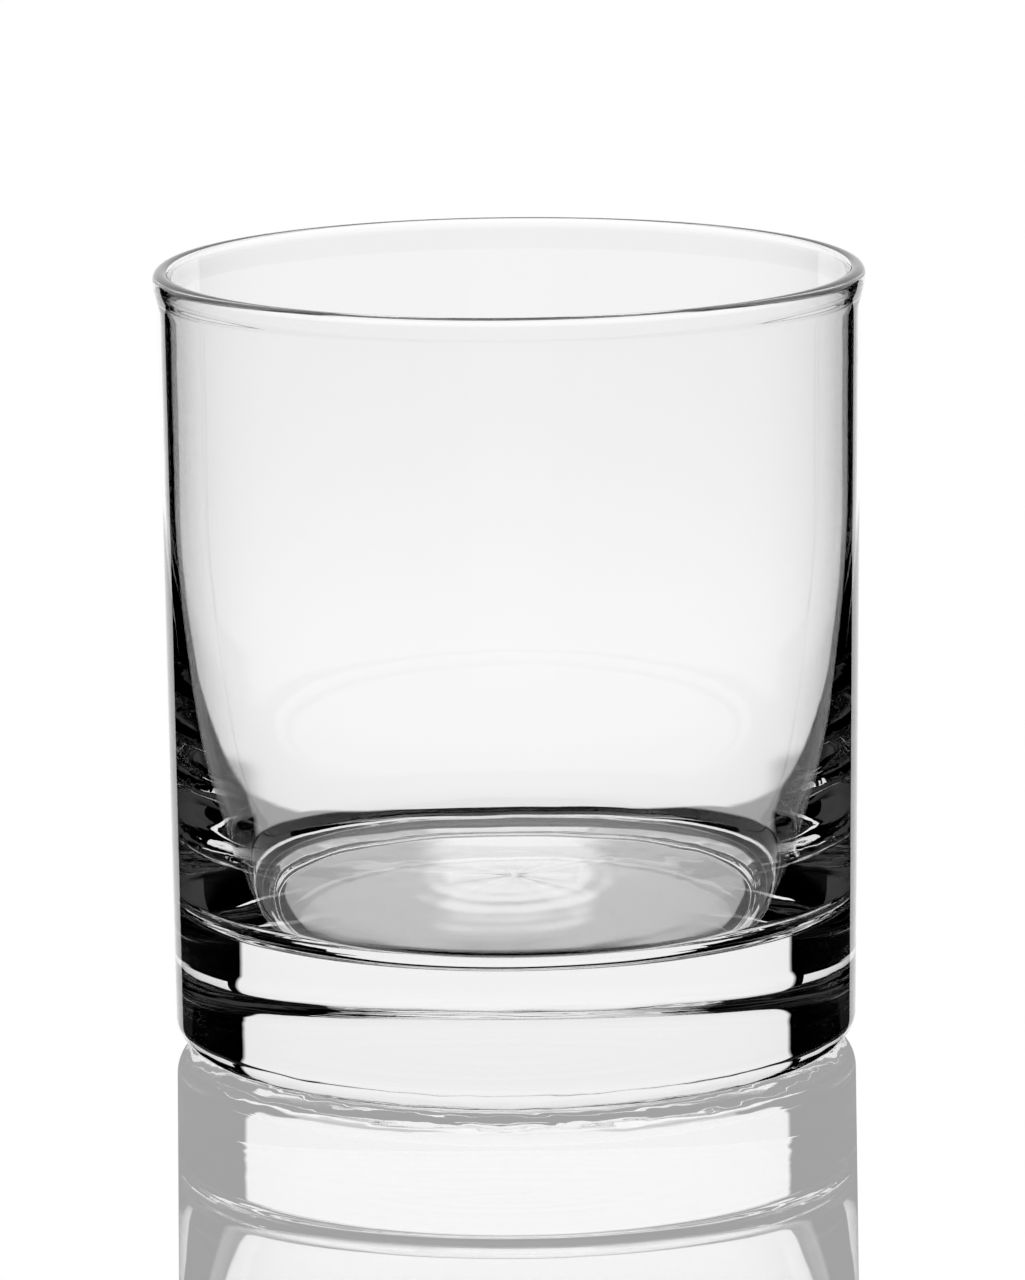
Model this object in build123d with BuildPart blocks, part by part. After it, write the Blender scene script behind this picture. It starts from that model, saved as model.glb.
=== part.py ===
"""A ten-ounce whiskey tumbler: one piece of pressed and blown glass with a heavy base and a fire-polished rim.

Millimetres, +Z up. The origin is the middle of the bearing ring, so the glass stands on the plane z = 0.
The whole glass is one solid of revolution about Z, drawn as half a section in the XZ plane.
"""
from build123d import *
from math import asin, cos, pi, sin
import os

# Driving dimensions of the outside
HEIGHT = 92.0  # bearing ring to the crest of the rim
BASE_RADIUS = 40.05  # outside of the wall, just above the heel
NECK_RADIUS = 40.95  # outside of the wall, just under the rim's bead
RIM_RADIUS = 41.45  # widest point of the bead
RIM_CREST_RADIUS = 1.0  # round top of the rim, which is twice this thick
BEAD_DEPTH = 3.2  # from the neck up to the centre of the crest's round
HEEL_RADIUS = 3.6  # rounding between the wall and the underside
PUNT_RADIUS = 34.5  # shallow hollow under the base, out to the bearing ring
PUNT_EDGE_WIDTH = 4.0  # the hollow's sloping edge
PUNT_RISE = 1.0

# Driving dimensions of the cup
FLOOR_HEIGHT = 15.5  # thickness of the base over the bearing plane
THIN_WALL_HEIGHT = 64.0  # the wall starts to thicken below this height
THIN_WALL_RADIUS = 39.25  # inside of the wall at that height
SHOULDER_RADIUS = 243.0  # long arc on which the wall starts to thicken
SHOULDER_TURN = 0.122  # the lean of the wall from upright where that arc ends, in radians
HAUNCH_RADIUS = 112.0  # arc of the thick part of the wall
CORNER_RADIUS = 4.4  # arc between the wall and the floor

# Inside of the wall: a straight drafted cone, then three tangent arcs down to the floor
crest_height = HEIGHT - RIM_CREST_RADIUS
mouth_radius = RIM_RADIUS - 2 * RIM_CREST_RADIUS
neck_height = crest_height - BEAD_DEPTH
draft = asin((mouth_radius - THIN_WALL_RADIUS) / (crest_height - THIN_WALL_HEIGHT))


def arc_point(radius, start, start_turn, turn):
    """A point of an arc that leaves start with its tangent start_turn from upright and turns inwards."""
    return (
        start[0] - radius * (cos(start_turn) - cos(turn)),
        start[1] - radius * (sin(turn) - sin(start_turn)),
    )


def tangent_arc(radius, start, start_turn, end_turn):
    """The same arc as a line of the outline, up to end_turn."""
    middle = arc_point(radius, start, start_turn, (start_turn + end_turn) / 2)
    return ThreePointArc(start, middle, arc_point(radius, start, start_turn, end_turn))


shoulder_start = (THIN_WALL_RADIUS, THIN_WALL_HEIGHT)
haunch_start = arc_point(SHOULDER_RADIUS, shoulder_start, draft, SHOULDER_TURN)
haunch_drop = haunch_start[1] - FLOOR_HEIGHT
corner_turn = asin(
    (haunch_drop - CORNER_RADIUS + HAUNCH_RADIUS * sin(SHOULDER_TURN)) / (HAUNCH_RADIUS - CORNER_RADIUS)
)
corner_start = arc_point(HAUNCH_RADIUS, haunch_start, SHOULDER_TURN, corner_turn)
floor_edge = arc_point(CORNER_RADIUS, corner_start, corner_turn, pi / 2)

punt_flat_radius = PUNT_RADIUS - PUNT_EDGE_WIDTH
punt_edge_middle = PUNT_RADIUS - PUNT_EDGE_WIDTH / 2

with BuildPart() as tumbler:
    with BuildSketch(Plane.XZ):
        with BuildLine():
            # Outside, from the middle of the underside up to the rim
            Line((0, PUNT_RISE), (punt_flat_radius, PUNT_RISE))
            Bezier(
                (punt_flat_radius, PUNT_RISE),
                (punt_edge_middle, PUNT_RISE),
                (punt_edge_middle, 0),
                (PUNT_RADIUS, 0),
            )
            Line((PUNT_RADIUS, 0), (BASE_RADIUS - HEEL_RADIUS, 0))
            CenterArc((BASE_RADIUS - HEEL_RADIUS, HEEL_RADIUS), HEEL_RADIUS, -90, 90)
            Line((BASE_RADIUS, HEEL_RADIUS), (NECK_RADIUS, neck_height))
            Bezier(
                (NECK_RADIUS, neck_height),
                (NECK_RADIUS, neck_height + BEAD_DEPTH / 2),
                (RIM_RADIUS, crest_height - BEAD_DEPTH / 2),
                (RIM_RADIUS, crest_height),
            )
            CenterArc((RIM_RADIUS - RIM_CREST_RADIUS, crest_height), RIM_CREST_RADIUS, 0, 180)
            # Inside, from the rim down to the middle of the floor
            Line((mouth_radius, crest_height), shoulder_start)
            tangent_arc(SHOULDER_RADIUS, shoulder_start, draft, SHOULDER_TURN)
            tangent_arc(HAUNCH_RADIUS, haunch_start, SHOULDER_TURN, corner_turn)
            tangent_arc(CORNER_RADIUS, corner_start, corner_turn, pi / 2)
            Line(floor_edge, (0, FLOOR_HEIGHT))
            Line((0, FLOOR_HEIGHT), (0, PUNT_RISE))
        make_face()
    revolve(axis=Axis.Z)
tumbler.part.label = "glass_tumbler"

os.makedirs("parts", exist_ok=True)
export_step(tumbler.part, "parts/glass_tumbler.step")
print("glass volume", round(tumbler.part.volume / 1000, 1), "ml, floor radius", round(floor_edge[0], 2))
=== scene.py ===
"""A clear glass whiskey tumbler on a glossy white table, lit from behind by bright panels.

Everything is in metres in the CAD frame: +Z is up, the glass stands on z = 0 and the camera looks along +Y.
Lengths in capitals are millimetres, and are turned into metres where a mesh is made.
"""
import math

import bmesh
import bpy
from mathutils import Matrix, Vector, noise


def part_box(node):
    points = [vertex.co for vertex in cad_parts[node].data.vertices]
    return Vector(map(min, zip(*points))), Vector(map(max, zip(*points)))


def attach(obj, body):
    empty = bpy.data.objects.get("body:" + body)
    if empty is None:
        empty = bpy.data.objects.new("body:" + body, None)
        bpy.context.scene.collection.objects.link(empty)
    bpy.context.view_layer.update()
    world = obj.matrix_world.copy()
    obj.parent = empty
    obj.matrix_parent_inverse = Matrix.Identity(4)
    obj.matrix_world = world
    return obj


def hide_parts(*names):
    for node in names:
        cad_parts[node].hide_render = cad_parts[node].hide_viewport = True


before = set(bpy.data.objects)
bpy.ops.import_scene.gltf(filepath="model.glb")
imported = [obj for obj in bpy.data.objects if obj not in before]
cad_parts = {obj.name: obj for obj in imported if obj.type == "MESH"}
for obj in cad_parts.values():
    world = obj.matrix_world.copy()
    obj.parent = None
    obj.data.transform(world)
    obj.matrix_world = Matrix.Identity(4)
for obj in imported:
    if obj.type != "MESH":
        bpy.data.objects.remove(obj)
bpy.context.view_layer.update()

MM = 0.001
NODE = "glass_tumbler"

# The glass: its height and rim come from the CAD node, the rest are the CAD part's driving dimensions
(_, _, _), (rim_x, _, rim_z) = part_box(NODE)
HEIGHT = rim_z / MM
RIM_RADIUS = rim_x / MM
BASE_RADIUS = 40.05
NECK_RADIUS = 40.95
RIM_CREST_RADIUS = 1.0
BEAD_DEPTH = 3.2
HEEL_RADIUS = 3.6
PUNT_RADIUS = 34.5
PUNT_EDGE_WIDTH = 4.0
PUNT_RISE = 1.0
FLOOR_HEIGHT = 15.5
THIN_WALL_HEIGHT = 64.0
THIN_WALL_RADIUS = 39.25
SHOULDER_RADIUS = 243.0
SHOULDER_TURN = 0.122
HAUNCH_RADIUS = 112.0
CORNER_RADIUS = 4.4

# How finely the section and its turn are divided
SIDES = 360
ARC_STEP = math.radians(4)
WALL_STEP = 1.6
HEEL_STEP = 0.5
FLOOR_STEP = 0.7
HEEL_ARC_STEP = 0.22
CURVE_STEPS = 14

# How far the mould marks move the surface, in millimetres
INNER_WALL_WAVES = 0.012
INNER_WALL_RIPPLES = 0.010
OUTER_WALL_RIPPLES = 0.006
FLOOR_RINGS = 0.03
UNDERSIDE_RINGS = 0.02
HEEL_WAVES = 0.09
HEEL_GRAIN = 0.036

# The glass as a material
GLASS_IOR = 1.52
ABSORPTION_GREY = 0.5
ABSORPTION_DENSITY = 1.6
GRAIN_SCALE = 420
GRAIN_STRENGTH = 0.12
GRAIN_DEPTH = 0.01

# The camera, fitted to the rim and the base
CAMERA_DISTANCE = 1055.1
CAMERA_HEIGHT = 245.4
CAMERA_PITCH = math.radians(10.613)
CAMERA_ROLL = math.radians(0.574)
CAMERA_LENS = 257.7
SENSOR_WIDTH = 36.0

# The upright light panels
PANEL_DISTANCE = 150.0
PANEL_BOTTOM = -120.0
MIRRORED_TOP = 100.0  # the back panel is dark above this height to light that the glass mirrored
PANEL_TOP = 210.0
PANEL_HALF_ANGLE = math.radians(31)
PANEL_COLUMN_ANGLE = math.radians(0.25)
PANEL_ROWS = 110
RING_HALF_ANGLE = math.radians(141)
SIDE_FADE = (math.radians(8), math.radians(24))
BACK_LIGHT = 1.04
SIDE_LIGHT = 0.95
SIDE_REFLECTED = 0.06

# The most surfaces of the glass that light may have crossed when a panel is seen
ANY_CROSSINGS = 100
BASE_CROSSINGS = 3

# The table, and the stretch of it behind the glass that mirrors the back panel
TABLE_HALF_SIZE = 6000.0
TABLE_GLOSS_SHARE = 0.64
TABLE_GAP = 0.02
MIRROR_GAP = 0.03
MIRROR_START = 47.0
MIRROR_END = 115.0
MIRROR_WIDTH = 90.0

# Where the surroundings are white
MIRRORED_BEHIND = math.radians(27)
OVERHEAD = math.radians(56)
ASIDE = math.radians(38)
STEEPLY_DOWN = math.radians(48)


def smooth_step(low, high, value):
    """0 up to low and 1 from high on, or the other way round when low is above high."""
    t = min(1, max(0, (value - low) / (high - low)))
    return t * t * (3 - 2 * t)


def arc(start, radius, from_angle, to_angle, step=ARC_STEP):
    """Points of an arc after start. The angles are its tangent's, from straight down and turning inwards."""
    count = max(2, math.ceil((to_angle - from_angle) / step))
    centre = (start[0] - radius * math.cos(from_angle), start[1] + radius * math.sin(from_angle))
    angles = [from_angle + (to_angle - from_angle) * i / count for i in range(1, count + 1)]
    return [(centre[0] + radius * math.cos(a), centre[1] - radius * math.sin(a)) for a in angles]


def line(start, end, step=WALL_STEP):
    """Points of a straight run after start, up to end."""
    count = max(1, math.ceil(math.dist(start, end) / step))
    return [tuple(a + (b - a) * i / count for a, b in zip(start, end)) for i in range(1, count + 1)]


def bezier(points, count=CURVE_STEPS):
    """Points of a cubic curve after its first control point."""
    curve = []
    for i in range(1, count + 1):
        t = i / count
        weights = ((1 - t) ** 3, 3 * t * (1 - t) ** 2, 3 * t * t * (1 - t), t**3)
        curve.append(tuple(sum(w * p[k] for w, p in zip(weights, points)) for k in (0, 1)))
    return curve


def outside_section():
    """The section from the middle of the underside, round the heel and up to the rim's crest."""
    crest_height = HEIGHT - RIM_CREST_RADIUS
    section = [(0.0, PUNT_RISE)]
    punt_edge_middle = PUNT_RADIUS - PUNT_EDGE_WIDTH / 2
    section += line(section[-1], (PUNT_RADIUS - PUNT_EDGE_WIDTH, PUNT_RISE), FLOOR_STEP)
    section += bezier([
        section[-1],
        (punt_edge_middle, PUNT_RISE),
        (punt_edge_middle, 0.0),
        (PUNT_RADIUS, 0.0),
    ])
    section += line(section[-1], (BASE_RADIUS - HEEL_RADIUS, 0.0), HEEL_STEP)
    heel_steps = math.ceil(math.pi / 2 * HEEL_RADIUS / HEEL_ARC_STEP)
    for i in range(1, heel_steps + 1):
        a = math.pi / 2 * i / heel_steps
        section.append((BASE_RADIUS - HEEL_RADIUS * (1 - math.sin(a)), HEEL_RADIUS * (1 - math.cos(a))))
    section += line(section[-1], (NECK_RADIUS, crest_height - BEAD_DEPTH))
    section += bezier([
        (NECK_RADIUS, crest_height - BEAD_DEPTH),
        (NECK_RADIUS, crest_height - BEAD_DEPTH / 2),
        (RIM_RADIUS, crest_height - BEAD_DEPTH / 2),
        (RIM_RADIUS, crest_height),
    ])
    crest_steps = CURVE_STEPS * 2
    for i in range(1, crest_steps // 2 + 1):
        a = math.pi * i / crest_steps
        section.append((
            RIM_RADIUS - RIM_CREST_RADIUS * (1 - math.cos(a)),
            crest_height + RIM_CREST_RADIUS * math.sin(a),
        ))
    return section


def inside_section():
    """The section from the rim's crest down the inside of the wall to the middle of the floor."""
    crest_height = HEIGHT - RIM_CREST_RADIUS
    mouth_radius = RIM_RADIUS - 2 * RIM_CREST_RADIUS
    draft = math.asin((mouth_radius - THIN_WALL_RADIUS) / (crest_height - THIN_WALL_HEIGHT))
    shoulder_drop = SHOULDER_RADIUS * (math.sin(SHOULDER_TURN) - math.sin(draft))
    haunch_drop = THIN_WALL_HEIGHT - shoulder_drop - FLOOR_HEIGHT
    rise = haunch_drop - CORNER_RADIUS + HAUNCH_RADIUS * math.sin(SHOULDER_TURN)
    turn = math.asin(rise / (HAUNCH_RADIUS - CORNER_RADIUS))
    section = []
    crest_steps = CURVE_STEPS * 2
    for i in range(crest_steps // 2 + 1, crest_steps + 1):
        a = math.pi * i / crest_steps
        section.append((
            RIM_RADIUS - RIM_CREST_RADIUS * (1 - math.cos(a)),
            crest_height + RIM_CREST_RADIUS * math.sin(a),
        ))
    section += line(section[-1], (THIN_WALL_RADIUS, THIN_WALL_HEIGHT))
    section += arc(section[-1], SHOULDER_RADIUS, draft, SHOULDER_TURN, math.radians(0.5))
    section += arc(section[-1], HAUNCH_RADIUS, SHOULDER_TURN, turn, math.radians(1))
    section += arc(section[-1], CORNER_RADIUS, turn, math.pi / 2)
    section += line(section[-1], (0.0, FLOOR_HEIGHT), FLOOR_STEP)
    return section


def mould_marks(radius, height, angle, inside):
    """How far pressing and cooling marks swell the surface at a point, in millimetres."""
    around = Vector((math.cos(angle), math.sin(angle), 0))
    swell = 0.0
    if inside:
        # Lazy waves down the wall, stronger where it is thick, and rings on the floor
        thick = smooth_step(62, 30, height)
        swell += INNER_WALL_WAVES * (0.3 + thick) * noise.noise(around * 2.2 + Vector((0, 0, height / 9)))
        swell += INNER_WALL_RIPPLES * thick * noise.noise(around * 7 + Vector((5, 0, height / 2.2)))
        floor = smooth_step(FLOOR_HEIGHT + 4, FLOOR_HEIGHT + 0.5, height)
        rings = noise.noise(Vector((radius / 2.6, 3.1, 0)) + around * (0.25 + radius / 60))
        swell += FLOOR_RINGS * floor * rings
    else:
        # A rough, streaky heel, ripples up the thick wall and rings on the underside
        heel = smooth_step(3.2, 0.2, height) * smooth_step(PUNT_RADIUS - 3, PUNT_RADIUS, radius)
        streak = noise.noise(around * 11 + Vector((0, 0, height * 1.1)))
        grain = noise.noise(around * 60 + Vector((0, 4, height * 3)))
        swell += heel * (HEEL_WAVES * streak + HEEL_GRAIN * grain)
        wall = smooth_step(2, 9, height) * smooth_step(70, 30, height)
        swell += OUTER_WALL_RIPPLES * wall * noise.noise(around * 6 + Vector((9, 0, height / 3)))
        under = smooth_step(2.5, 0.8, height) * smooth_step(PUNT_RADIUS, PUNT_RADIUS - 4, radius)
        rings = noise.noise(Vector((radius / 3.3, 7.7, 0)) + around * (0.3 + radius / 50))
        swell += UNDERSIDE_RINGS * under * rings
    return swell


def swollen(point, before, after, angle, inside):
    """The point of the turned section, moved along its normal by the mould marks there."""
    run, rise = after[0] - before[0], after[1] - before[1]
    length = math.hypot(run, rise)
    swell = mould_marks(point[0], point[1], angle, inside)
    radius = point[0] + swell * rise / length
    height = point[1] - swell * run / length
    return Vector((radius * math.cos(angle), radius * math.sin(angle), max(height, 0))) * MM


def revolve(name, section, crest):
    """A closed smooth mesh turned from a section whose ends are on the axis.

    The points of the section after the one numbered crest are the inside of the glass.
    """
    bm = bmesh.new()
    rings = []
    for k, point in enumerate(section):
        if point[0] < 1e-9:
            rings.append([bm.verts.new((0, 0, point[1] * MM))])
            continue
        before, after = section[k - 1], section[k + 1]
        turns = [2 * math.pi * i / SIDES for i in range(SIDES)]
        rings.append([bm.verts.new(swollen(point, before, after, a, k > crest)) for a in turns])
    for low, high in zip(rings, rings[1:]):
        for i in range(SIDES):
            j = (i + 1) % SIDES
            if len(low) == 1:
                bm.faces.new((low[0], high[j], high[i]))
            elif len(high) == 1:
                bm.faces.new((low[i], low[j], high[0]))
            else:
                bm.faces.new((low[i], low[j], high[j], high[i]))
    bmesh.ops.recalc_face_normals(bm, faces=bm.faces)
    for face in bm.faces:
        face.smooth = True
    mesh = bpy.data.meshes.new(name)
    bm.to_mesh(mesh)
    bm.free()
    return link(name, mesh)


def link(name, data):
    piece = bpy.data.objects.new(name, data)
    bpy.context.scene.collection.objects.link(piece)
    return piece


def clear_glass():
    material = bpy.data.materials.new("clear_glass")
    material.use_nodes = True
    nodes, links = material.node_tree.nodes, material.node_tree.links
    shader = nodes["Principled BSDF"]
    shader.inputs["Base Color"].default_value = (1, 1, 1, 1)
    shader.inputs["Transmission Weight"].default_value = 1
    shader.inputs["Roughness"].default_value = 0
    shader.inputs["IOR"].default_value = GLASS_IOR
    # The faint grain of a pressed surface
    place = nodes.new("ShaderNodeTexCoord")
    grain = nodes.new("ShaderNodeTexNoise")
    grain.inputs["Scale"].default_value = GRAIN_SCALE
    grain.inputs["Detail"].default_value = 2
    bump = nodes.new("ShaderNodeBump")
    bump.inputs["Strength"].default_value = GRAIN_STRENGTH
    bump.inputs["Distance"].default_value = GRAIN_DEPTH * MM
    links.new(place.outputs["Object"], grain.inputs["Vector"])
    links.new(grain.outputs["Fac"], bump.inputs["Height"])
    links.new(bump.outputs["Normal"], shader.inputs["Normal"])
    absorption = nodes.new("ShaderNodeVolumeAbsorption")
    absorption.inputs["Color"].default_value = (ABSORPTION_GREY, ABSORPTION_GREY, ABSORPTION_GREY, 1)
    absorption.inputs["Density"].default_value = ABSORPTION_DENSITY
    links.new(absorption.outputs["Volume"], nodes["Material Output"].inputs["Volume"])
    return material


def only_through_glass(piece):
    """Hides a piece from all but light that the glass has bent, so the white background stays clean."""
    piece.visible_camera = False
    piece.visible_diffuse = False
    piece.visible_glossy = False
    piece.visible_shadow = False


def empty_material(name):
    """A material with only its output, and its nodes and links."""
    material = bpy.data.materials.new(name)
    material.use_nodes = True
    nodes, links = material.node_tree.nodes, material.node_tree.links
    nodes.clear()
    output = nodes.new("ShaderNodeOutputMaterial")
    return material, nodes, links, output.inputs["Surface"]


def perfect_gloss(nodes):
    gloss = nodes.new("ShaderNodeBsdfGlossy")
    gloss.inputs["Color"].default_value = (1, 1, 1, 1)
    gloss.inputs["Roughness"].default_value = 0
    return gloss.outputs["BSDF"]


def mix(nodes, links, share, first, second):
    """The second shader in the given share, over the first. The share is an output socket or a number."""
    mixed = nodes.new("ShaderNodeMixShader")
    if isinstance(share, float):
        mixed.inputs["Fac"].default_value = share
    else:
        links.new(share, mixed.inputs["Fac"])
    links.new(first, mixed.inputs[1])
    links.new(second, mixed.inputs[2])
    return mixed.outputs["Shader"]


def mesh_shade(nodes):
    attribute = nodes.new("ShaderNodeAttribute")
    attribute.attribute_name = "shade"
    return attribute.outputs["Fac"]


def shaded_glow(name, light, mirrored_share, most_crossings):
    """A surface that gives the light times the mesh's own shade.

    Light that the glass mirrored on its way gets only mirrored_share of that. The surface is clear to rays
    that have not been through the glass, or have crossed more than most_crossings of its surfaces.
    """
    material, nodes, links, surface = empty_material(name)
    path = nodes.new("ShaderNodeLightPath")
    dim = nodes.new("ShaderNodeMapRange")
    dim.inputs["To Min"].default_value = light
    dim.inputs["To Max"].default_value = light * mirrored_share
    links.new(path.outputs["Glossy Depth"], dim.inputs["Value"])
    product = nodes.new("ShaderNodeMath")
    product.operation = "MULTIPLY"
    links.new(mesh_shade(nodes), product.inputs[0])
    links.new(dim.outputs["Result"], product.inputs[1])
    emission = nodes.new("ShaderNodeEmission")
    links.new(product.outputs["Value"], emission.inputs["Strength"])
    crossed = nodes.new("ShaderNodeMath")
    crossed.operation = "COMPARE"
    crossed.inputs[1].default_value = (1 + most_crossings) / 2
    crossed.inputs[2].default_value = most_crossings / 2
    links.new(path.outputs["Transmission Depth"], crossed.inputs[0])
    clear = nodes.new("ShaderNodeBsdfTransparent").outputs["BSDF"]
    links.new(mix(nodes, links, crossed.outputs["Value"], clear, emission.outputs["Emission"]), surface)
    return material


def shaded_grid(name, columns, rows, place, material):
    """A staged sheet seen only through the glass.

    place(across, along) gives a point in millimetres and its shade, for shares from 0 to 1.
    """
    vertices, shades, faces = [], [], []
    for i in range(columns + 1):
        for j in range(rows + 1):
            point, shade = place(i / columns, j / rows)
            vertices.append([value * MM for value in point])
            shades.append(shade)
    for i in range(columns):
        for j in range(rows):
            k = i * (rows + 1) + j
            faces.append((k, k + rows + 1, k + rows + 2, k + 1))
    mesh = bpy.data.meshes.new(name)
    mesh.from_pydata(vertices, [], faces)
    mesh.attributes.new("shade", "FLOAT", "POINT").data.foreach_set("value", shades)
    mesh.materials.append(material)
    sheet = link(name, mesh)
    only_through_glass(sheet)
    return sheet


def panel(name, facing, half_angle, heights, distance, shade, material):
    """An upright curved panel round the glass, centred on the facing angle from +Y, between two heights.

    shade(turn, height) is how bright it is at an angle from its middle and a height, as a share of its light.
    """
    bottom, top = heights

    def place(across, along):
        turn = half_angle * (2 * across - 1)
        height = bottom + (top - bottom) * along
        around = facing + turn
        return (distance * math.sin(around), distance * math.cos(around), height), shade(turn, height)

    columns = math.ceil(half_angle / PANEL_COLUMN_ANGLE)
    shaded_grid(name, columns, PANEL_ROWS, place, material).visible_glossy = True


def back_shade(turn, height):
    """Narrowing below the table, where only a tongue of light is left in the middle."""
    half_width = math.radians(30 + 8 * min(0, max(-1, (height + 5) / 40)))
    edge = math.radians(0.5)
    sides = smooth_step(half_width + edge, half_width - edge, abs(turn))
    tongue = smooth_step(math.radians(6.5), math.radians(4), abs(turn))
    deep = (0.4 + 0.18 * smooth_step(-47, -40, height)) * smooth_step(-80, -66, height)
    low = deep + tongue * 0.45 * smooth_step(-66, -48, height)
    high = smooth_step(-34, -28, height)
    rise = 1 - 0.09 * smooth_step(0, 70, height)
    return sides * (low + (1 - low) * high) * rise


def side_shade(turn, height):
    """Bright above the base, and below that only in a soft upright strip."""
    strip = smooth_step(SIDE_FADE[1], SIDE_FADE[0], abs(turn)) * smooth_step(-72, -54, height)
    return max(strip, smooth_step(34, 42, height))


def ring_shade(turn, height):
    """A bright band, above the level where the far side of the base is seen."""
    return smooth_step(-32, -22, height) * smooth_step(60, 50, height)


def table_mirror():
    """The glossy table just behind the glass, which sends what the glass bends down on to the back panel."""
    material, nodes, links, surface = empty_material("table_mirror")
    clear = nodes.new("ShaderNodeBsdfTransparent").outputs["BSDF"]
    links.new(mix(nodes, links, mesh_shade(nodes), clear, perfect_gloss(nodes)), surface)

    def place(across, along):
        x = MIRROR_WIDTH * (across - 0.5)
        y = MIRROR_START + (MIRROR_END - MIRROR_START) * along
        # The glass shades the table next to it, most at the sides
        shadow = MIRROR_START + 1 + 7 * smooth_step(18, 32, abs(x))
        start = smooth_step(shadow, shadow + 3, y)
        end = smooth_step(MIRROR_END, MIRROR_END - 20, y)
        sides = smooth_step(MIRROR_WIDTH / 2, MIRROR_WIDTH / 2 - 6, abs(x))
        return (x, y, -MIRROR_GAP), start * end * sides

    shaded_grid("table_mirror", 60, 50, place, material)


def white_table():
    """The table that the camera sees: glossy white, with a mirror image of the glass."""
    material, nodes, links, surface = empty_material("white_table")
    body = nodes.new("ShaderNodeEmission").outputs["Emission"]
    links.new(mix(nodes, links, TABLE_GLOSS_SHARE, body, perfect_gloss(nodes)), surface)
    size = TABLE_HALF_SIZE * MM
    corners = [(-size, -size, 0), (size, -size, 0), (size, size, 0), (-size, size, 0)]
    mesh = bpy.data.meshes.new("white_table")
    mesh.from_pydata(corners, [], [(0, 1, 2, 3)])
    mesh.materials.append(material)
    table = link("white_table", mesh)
    table.location.z = -TABLE_GAP * MM
    table.visible_transmission = False
    table.visible_glossy = False
    table.visible_diffuse = False
    table.visible_shadow = False


def surroundings():
    """White behind the glass, in the table and where the whole cup is looked through; dark for the rest."""
    world = bpy.data.worlds.new("surroundings")
    bpy.context.scene.world = world
    world.use_nodes = True
    nodes, links = world.node_tree.nodes, world.node_tree.links
    background = nodes["Background"]
    path = nodes.new("ShaderNodeLightPath")
    direction = nodes.new("ShaderNodeTexCoord")
    split = nodes.new("ShaderNodeSeparateXYZ")
    links.new(direction.outputs["Generated"], split.inputs["Vector"])

    def math_node(operation, *values):
        node = nodes.new("ShaderNodeMath")
        node.operation = operation
        for socket, value in zip(node.inputs, values):
            if isinstance(value, (int, float)):
                socket.default_value = value
            else:
                links.new(value, socket)
        return node.outputs["Value"]

    def both(one, other):
        return math_node("MULTIPLY", one, other)

    def either(one, other):
        return math_node("MAXIMUM", one, other)

    up, onward = split.outputs["Z"], split.outputs["Y"]
    surfaces_crossed = path.outputs["Transmission Depth"]
    glossy = path.outputs["Is Glossy Ray"]

    # What the table and the glass mirror at once: white above, and white behind for the glass's edges
    first_mirror = both(glossy, math_node("LESS_THAN", path.outputs["Ray Depth"], 2.5))
    behind = math_node("GREATER_THAN", onward, math.cos(MIRRORED_BEHIND))
    mirrored = both(first_mirror, either(math_node("GREATER_THAN", up, 0.0), behind))

    # What the glass bends steeply up
    overhead = math_node("GREATER_THAN", up, math.sin(OVERHEAD))
    bent_up = both(path.outputs["Is Transmission Ray"], overhead)

    # What is seen straight through the whole cup from the sides and from above
    mirrors_inside = math_node("SUBTRACT", path.outputs["Glossy Depth"], glossy)
    straight = math_node("LESS_THAN", mirrors_inside, 0.5)
    across = math_node("DIVIDE", onward, math_node("SQRT", math_node("SUBTRACT", 1.0, both(up, up))))
    aside = math_node("LESS_THAN", across, math.cos(ASIDE))
    whole_cup = math_node("GREATER_THAN", surfaces_crossed, 3.5)
    through_sides = both(both(straight, whole_cup), aside)
    steep = math_node("LESS_THAN", up, -math.sin(STEEPLY_DOWN))
    entered = math_node("GREATER_THAN", surfaces_crossed, 0.5)
    floor_only = both(entered, math_node("LESS_THAN", surfaces_crossed, 2.5))
    through_floor = both(both(straight, floor_only), steep)

    around = math_node("MULTIPLY", either(through_sides, through_floor), SIDE_LIGHT)
    white = either(either(path.outputs["Is Camera Ray"], mirrored), either(bent_up, around))
    links.new(white, background.inputs["Strength"])
    background.inputs["Color"].default_value = (1, 1, 1, 1)


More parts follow.
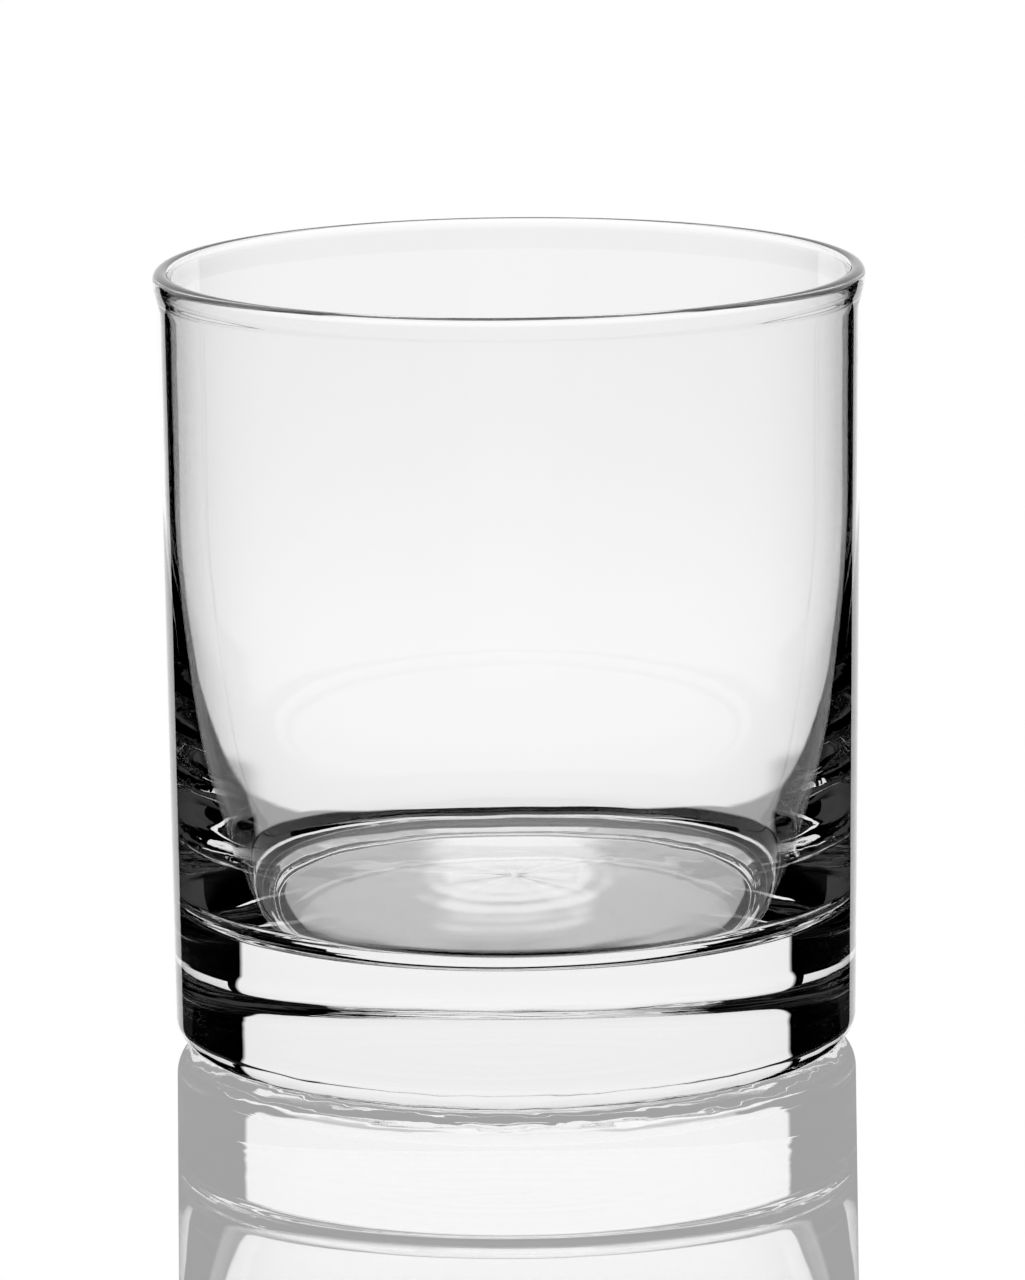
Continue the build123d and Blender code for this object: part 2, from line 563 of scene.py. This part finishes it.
def camera():
    data = bpy.data.cameras.new("camera")
    data.sensor_width = SENSOR_WIDTH
    data.lens = CAMERA_LENS
    data.clip_start = 0.01
    piece = link("camera", data)
    piece.location = (0, -CAMERA_DISTANCE * MM, CAMERA_HEIGHT * MM)
    forward = Vector((0, math.cos(CAMERA_PITCH), -math.sin(CAMERA_PITCH)))
    level = forward.to_track_quat("-Z", "Y")
    rolled = Matrix.Rotation(CAMERA_ROLL, 3, forward) @ level.to_matrix()
    piece.rotation_mode = "QUATERNION"
    piece.rotation_quaternion = rolled.to_quaternion()
    bpy.context.scene.camera = piece


def light_paths():
    """Enough bounces for light that runs round inside the base."""
    cycles = bpy.context.scene.cycles
    cycles.max_bounces = 24
    cycles.transmission_bounces = 24
    cycles.glossy_bounces = 16
    cycles.transparent_max_bounces = 16


outside = outside_section()
glass = revolve("clear_glass_tumbler", outside + inside_section(), len(outside))
glass.data.materials.append(clear_glass())
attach(glass, "root")
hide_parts(NODE)

panel(
    "back_panel", 0, PANEL_HALF_ANGLE, (PANEL_BOTTOM, MIRRORED_TOP), PANEL_DISTANCE, back_shade,
    shaded_glow("back_panel", BACK_LIGHT, 1, ANY_CROSSINGS),
)
panel(
    "upper_back_panel", 0, PANEL_HALF_ANGLE, (MIRRORED_TOP, PANEL_TOP), PANEL_DISTANCE, back_shade,
    shaded_glow("upper_back_panel", BACK_LIGHT, 0, ANY_CROSSINGS),
)
side_glow = shaded_glow("side_panel", SIDE_LIGHT, SIDE_REFLECTED, BASE_CROSSINGS)
for quarter in (1, 2, 3):
    facing = quarter * math.pi / 2
    heights = (PANEL_BOTTOM, PANEL_TOP)
    panel(f"side_panel_{quarter}", facing, SIDE_FADE[1], heights, PANEL_DISTANCE, side_shade, side_glow)
panel(
    "far_ring", math.pi, RING_HALF_ANGLE, (PANEL_BOTTOM, PANEL_TOP), 2 * PANEL_DISTANCE, ring_shade,
    shaded_glow("far_ring", SIDE_LIGHT, 0, BASE_CROSSINGS),
)
table_mirror()
white_table()
surroundings()
camera()
light_paths()
bpy.context.scene.view_settings.view_transform = "Standard"
bpy.context.scene.view_settings.look = "None"
